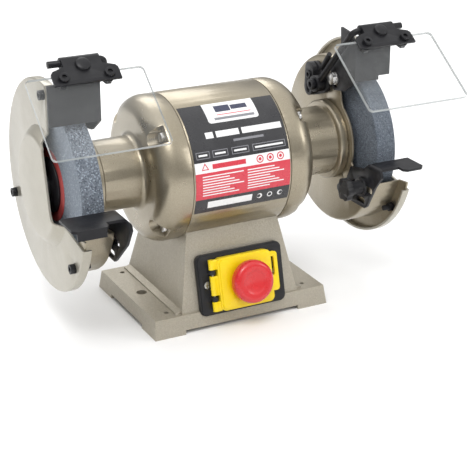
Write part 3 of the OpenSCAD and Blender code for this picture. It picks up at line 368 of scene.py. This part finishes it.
def makeLabel(name, spec, obj, axisZ):
    mat, tree, shader, co = newMaterial(name)
    low, high = boxOf(obj)
    x, y, z = splitVector(tree, co)
    u = maths(tree, "DIVIDE", maths(tree, "SUBTRACT", x, low.x), high.x - low.x)

    # v follows the curve of the shell, by the angle round the spindle's axis
    up = maths(tree, "SUBTRACT", z, axisZ)
    out = maths(tree, "MULTIPLY", y, -1.0)
    angle = maths(tree, "ARCTAN2", up, out)
    radius = -low.y
    bottom = math.asin((low.z - axisZ) / radius)
    top = math.asin(min((high.z - axisZ) / radius, 1))
    v = maths(tree, "DIVIDE", maths(tree, "SUBTRACT", angle, bottom), top - bottom)
    tall = radius * (top - bottom) / (high.x - low.x)    # height of the label over its width

    def area(u0, u1, v0, v1):
        a = maths(tree, "ABSOLUTE", maths(tree, "SUBTRACT", u, (u0 + u1) / 2), 0.0)
        b = maths(tree, "ABSOLUTE", maths(tree, "SUBTRACT", v, (v0 + v1) / 2), 0.0)
        return maths(tree, "MULTIPLY", maths(tree, "LESS_THAN", a, (u1 - u0) / 2),
                     maths(tree, "LESS_THAN", b, (v1 - v0) / 2))

    def disc(cu, cv, r):
        a = maths(tree, "SUBTRACT", u, cu)
        b = maths(tree, "MULTIPLY", maths(tree, "SUBTRACT", v, cv), tall)
        d = maths(tree, "ADD", maths(tree, "MULTIPLY", a, a), maths(tree, "MULTIPLY", b, b))
        return maths(tree, "LESS_THAN", d, r * r)

    def triangle(cu, cv, r):
        a = maths(tree, "ABSOLUTE", maths(tree, "SUBTRACT", u, cu), 0.0)
        b = maths(tree, "MULTIPLY", maths(tree, "SUBTRACT", v, cv), tall)
        slope = maths(tree, "ADD", maths(tree, "MULTIPLY", a, 1.73), b)
        return maths(tree, "MULTIPLY", maths(tree, "LESS_THAN", slope, r),
                     maths(tree, "GREATER_THAN", b, -r / 2))

    color = spec["black"]

    def paint(mask, ink):
        nonlocal color
        color = mix(tree, mask, color, spec[ink])

    def paintAll(areas):
        for ink, *box in areas:
            paint(area(*box), ink)

    paintAll(spec["panels"] + spec["title"])

    # the tab hangs from the upper edge, with its lower corners rounded
    u0, u1, v0, v1 = spec["tab"]
    r = spec["tabRound"]
    paint(area(u0 + r, u1 - r, v0, v1), "white")
    paint(area(u0, u1, v0 + r / tall, v1), "white")
    for cu in (u0 + r, u1 - r):
        paint(disc(cu, v0 + r / tall, r), "white")
    paintAll(spec["tabPrint"])

    # a row of outlined boxes with a bar in each
    v0, v1 = spec["boxRow"]
    line, inset, bar = spec["boxLine"], spec["boxInset"], spec["boxBar"]
    for u0, u1 in spec["boxes"]:
        paint(area(u0, u1, v0, v1), "ash")
        paint(area(u0 + line, u1 - line, v0 + line, v1 - line), "black")
        paint(area(u0 + inset, u1 - inset, (v0 + v1) / 2 - bar, (v0 + v1) / 2 + bar), "white")

    # heading row: a bar, a triangle and three ringed dots
    paint(area(*spec["heading"]), "red")
    cu, cv, r = spec["triangle"]
    paint(triangle(cu, cv, r), "red")
    paint(triangle(cu, cv, r * spec["triangleHole"]), "white")
    ring, dot = spec["roundRings"]
    for cu in spec["rounds"]:
        paint(disc(cu, spec["roundRow"], spec["roundSize"]), "red")
        paint(disc(cu, spec["roundRow"], spec["roundSize"] * ring), "white")
        paint(disc(cu, spec["roundRow"], spec["roundSize"] * dot), "red")

    # two columns of thin lines with ragged ends
    v0, v1 = spec["block"]
    step = (v1 - v0) / spec["lines"]
    half = step * spec["lineWeight"]
    for column, (u0, u1) in enumerate(spec["columns"]):
        for row in range(spec["lines"]):
            end = u1 - spec["raggedEnd"] * ((row * 3 + column * 2) % 4)
            at = v1 - step * (row + 0.5)
            paint(area(u0, end, at - half, at + half), "white")
    for n, cu in enumerate(spec["marks"]):
        paint(disc(cu, spec["markRow"], spec["markSize"]), "white")
        paint(disc(cu + spec["markShift"] * (n - 1), spec["markRow"], spec["markHole"]), "black")

    fading = maths(tree, "MULTIPLY", noise(tree, co, 60, 3), spec["fade"])
    setColor(tree, shader, mix(tree, fading, color, grey(0.5)))
    setGloss(tree, shader, noise(tree, co, 90, 3), *spec["roughness"], ends=(0.3, 0.8))
    bump(tree, shader, [(noise(tree, co, 300, 2), 0.04, 0.0002)])
    return mat


# the spindle's axis is the middle of the label's curve
spindleLow, spindleHigh = boxOf(nodes["spindle"])
axisZ = (spindleLow.z + spindleHigh.z) / 2

blackSteel = makeBlack("black_painted_steel", blackPaint)
finishes = {    # for each material slot of the frame
    "casting_paint": makeCastPaint("casting_paint", castPaint),
    "metallic_paint": makeChampagne("champagne_paint", champagnePaint),
    "bell_paint": makeChampagne("bell_paint", dict(champagnePaint, roughness=0.30)),
    "black_paint": blackSteel,
    "zinc": makeMetal("zinc_plate", bareMetal, tint=(1.0, 0.99, 0.95)),
    "ground_steel": makeMetal("ground_steel", bareMetal, turned=True),
    "core_steel": makeMetal("laminated_core", coreMetal, tint=(0.5, 0.5, 0.52), turned=True),
    "copper": makeMetal("enamelled_copper", copperWire, turned=True),
    "grit": makeStone("fine_grit", fineStone),
    "blotter": makePlastic("blotter_paper", blotter),
    "label": makeLabel("label_film", labelPrint, nodes["data_label"], axisZ),
    "clear": makeClear("clear_polycarbonate", clearSheet, "face"),
    "black_plastic": makeBlack("black_moulded_plastic", mouldedPlastic),
    "yellow_plastic": makePlastic("yellow_plastic", yellowPlastic),
    "red_plastic": makePlastic("red_plastic", redPlastic),
    "green_plastic": makePlastic("green_plastic", greenPlastic),
}

# pieces that look different from the rest of their slot
coverPaint = makeChampagne("cover_paint", dict(
    champagnePaint, color=(0.40, 0.375, 0.31), flake=(0.56, 0.53, 0.45), metallic=0.45))
arresterSteel = makeBlack("grey_painted_steel", arresterPaint)
darkZinc = makeMetal("dark_zinc", dullPlate, tint=(0.28, 0.28, 0.30))
ownFinish = {
    "wheel_left": makeStone("coarse_grit", coarseStone),
    "spark_arrester_left": arresterSteel, "spark_arrester_right": arresterSteel,
    "cover_left": coverPaint, "cover_right": coverPaint,
    "outer_flanges": blackSteel, "inner_flanges": darkZinc, "spindle_nuts": darkZinc,
}
for part in frame["record"]["subparts"]:
    name = part["node"]
    materials = nodes[name].data.materials
    materials.clear()
    materials.append(ownFinish.get(name, finishes[part["material_slot"]]))


flatEnough = 0.9    # how far a face may turn from the sheet before it counts as rim


def paintRim(obj, rim):
    obj.data.materials.append(rim)
    sheet = max(obj.data.polygons, key=lambda p: p.area).normal.copy()
    for poly in obj.data.polygons:
        poly.material_index = 0 if abs(poly.normal.dot(sheet)) > flatEnough else 1


clearRim = makeClear("clear_rim", clearSheet, "rim")
for side in sides:
    paintRim(nodes["eye_shield_" + side], clearRim)
print("finishes set")


# a small round on the outer edges, in metres; pieces with none are smooth or have sharp edges
edgeRound = {
    "usual": 0.0004,
    "base_casting": 0.0007, "tool_rest_left": 0.0006, "tool_rest_right": 0.0006,
    "eye_shield_left": 0.0, "eye_shield_right": 0.0, "data_label": 0.0,
    "wheel_left": 0.0, "wheel_right": 0.0, "bearing_balls": 0.0,
    "stator_windings": 0.0, "stator_core": 0.0, "rotor": 0.0,
}
edgeLimits = {"weld": 0.00001, "sharp": math.radians(32), "segments": 2}


def makeSmoothEdges(limits):
    tree = bpy.data.node_groups.new("smoothEdges", "GeometryNodeTree")
    for way in ("INPUT", "OUTPUT"):
        tree.interface.new_socket("Geometry", in_out=way, socket_type="NodeSocketGeometry")
    start = tree.nodes.new("NodeGroupInput")
    end = tree.nodes.new("NodeGroupOutput")
    angle = tree.nodes.new("GeometryNodeInputMeshEdgeAngle")
    flat = tree.nodes.new("FunctionNodeCompare")
    flat.operation = "LESS_EQUAL"
    flat.inputs[1].default_value = limits["sharp"]
    faces = tree.nodes.new("GeometryNodeSetShadeSmooth")
    edges = tree.nodes.new("GeometryNodeSetShadeSmooth")
    edges.domain = "EDGE"
    tree.links.new(start.outputs[0], faces.inputs["Geometry"])
    tree.links.new(faces.outputs[0], edges.inputs["Geometry"])
    tree.links.new(angle.outputs[0], flat.inputs[0])
    tree.links.new(flat.outputs[0], edges.inputs["Shade Smooth"])
    tree.links.new(edges.outputs[0], end.inputs[0])
    return tree


def softenEdges(obj, width, limits, smoothEdges):
    weld = obj.modifiers.new("weld", "WELD")
    weld.merge_threshold = limits["weld"]
    if width > 0:
        bevel = obj.modifiers.new("bevel", "BEVEL")
        bevel.width = width
        bevel.segments = limits["segments"]
        bevel.limit_method = "ANGLE"
        bevel.angle_limit = limits["sharp"]
        bevel.use_clamp_overlap = True
        bevel.harden_normals = True
    for poly in obj.data.polygons:
        poly.use_smooth = True
    obj.modifiers.new("smooth", "NODES").node_group = smoothEdges


smoothEdges = makeSmoothEdges(edgeLimits)
for name, obj in nodes.items():
    softenEdges(obj, edgeRound.get(name, edgeRound["usual"]), edgeLimits, smoothEdges)
print("edges softened")


# pale floor and a sky that brightens upwards, so that metal has something to mirror
stage = {
    "floorSize": 12.0, "floor": (0.92, 0.92, 0.92), "floorRoughness": 0.9,
    "sky": [(0.0, 0.30), (0.30, 0.42), (0.55, 0.95), (1.0, 1.25)],    # height, brightness
    "skyPower": 1.0,
}


def makeFloor(spec):
    mesh = bpy.data.meshes.new("floor")
    bm = bmesh.new()
    bmesh.ops.create_grid(bm, x_segments=2, y_segments=2, size=spec["floorSize"] / 2)
    bm.to_mesh(mesh)
    bm.free()
    floor = bpy.data.objects.new("floor", mesh)
    scene.collection.objects.link(floor)
    mat, tree, shader, co = newMaterial("floor_paper")
    shader.inputs["Base Color"].default_value = (*spec["floor"], 1)
    shader.inputs["Roughness"].default_value = spec["floorRoughness"]
    mesh.materials.append(mat)


def makeSky(spec):
    world = bpy.data.worlds.new("studio")
    world.use_nodes = True
    tree = world.node_tree
    way = tree.nodes.new("ShaderNodeTexCoord")
    height = splitVector(tree, way.outputs["Generated"])[2]
    sky = ramp(tree, height, [(at, grey(level)) for at, level in spec["sky"]])
    background = tree.nodes["Background"]
    tree.links.new(sky, background.inputs[0])
    background.inputs[1].default_value = spec["skyPower"]
    scene.world = world


# square soft lamps, all turned to the middle of the machine; metres and watts
lamps = {
    "key": {"at": (-0.7, -1.0, 1.9), "size": 0.8, "power": 20},
    "fill": {"at": (1.5, -1.1, 0.9), "size": 0.7, "power": 6},
    "rim": {"at": (0.2, 1.4, 1.5), "size": 1.2, "power": 12},
}
lampTarget = Vector((0, 0, 0.12))


def addLamp(name, spec, target):
    light = bpy.data.lights.new(name, "AREA")
    light.shape = "RECTANGLE"
    light.size = spec["size"]
    light.size_y = spec["size"]
    light.energy = spec["power"]
    obj = bpy.data.objects.new(name, light)
    scene.collection.objects.link(obj)
    obj.location = spec["at"]
    obj.rotation_euler = (target - Vector(spec["at"])).to_track_quat("-Z", "Y").to_euler()


# seen from the front left and a little above; metres, millimetres of lens, degrees
camera = {"at": (-0.5257, -1.0682, 0.5507), "lens": 102.86, "sensor": 36, "turn": (67.71, 0.0, -27.32)}


def addCamera(spec):
    cam = bpy.data.cameras.new("camera")
    cam.lens = spec["lens"]
    cam.sensor_width = spec["sensor"]
    obj = bpy.data.objects.new("camera", cam)
    obj.location = spec["at"]
    obj.rotation_euler = [math.radians(angle) for angle in spec["turn"]]
    scene.collection.objects.link(obj)
    scene.camera = obj


makeFloor(stage)
makeSky(stage)
for name, spec in lamps.items():
    addLamp(name, spec, lampTarget)
addCamera(camera)
scene.view_settings.view_transform = "Standard"
scene.view_settings.look = "None"
print("stage set")
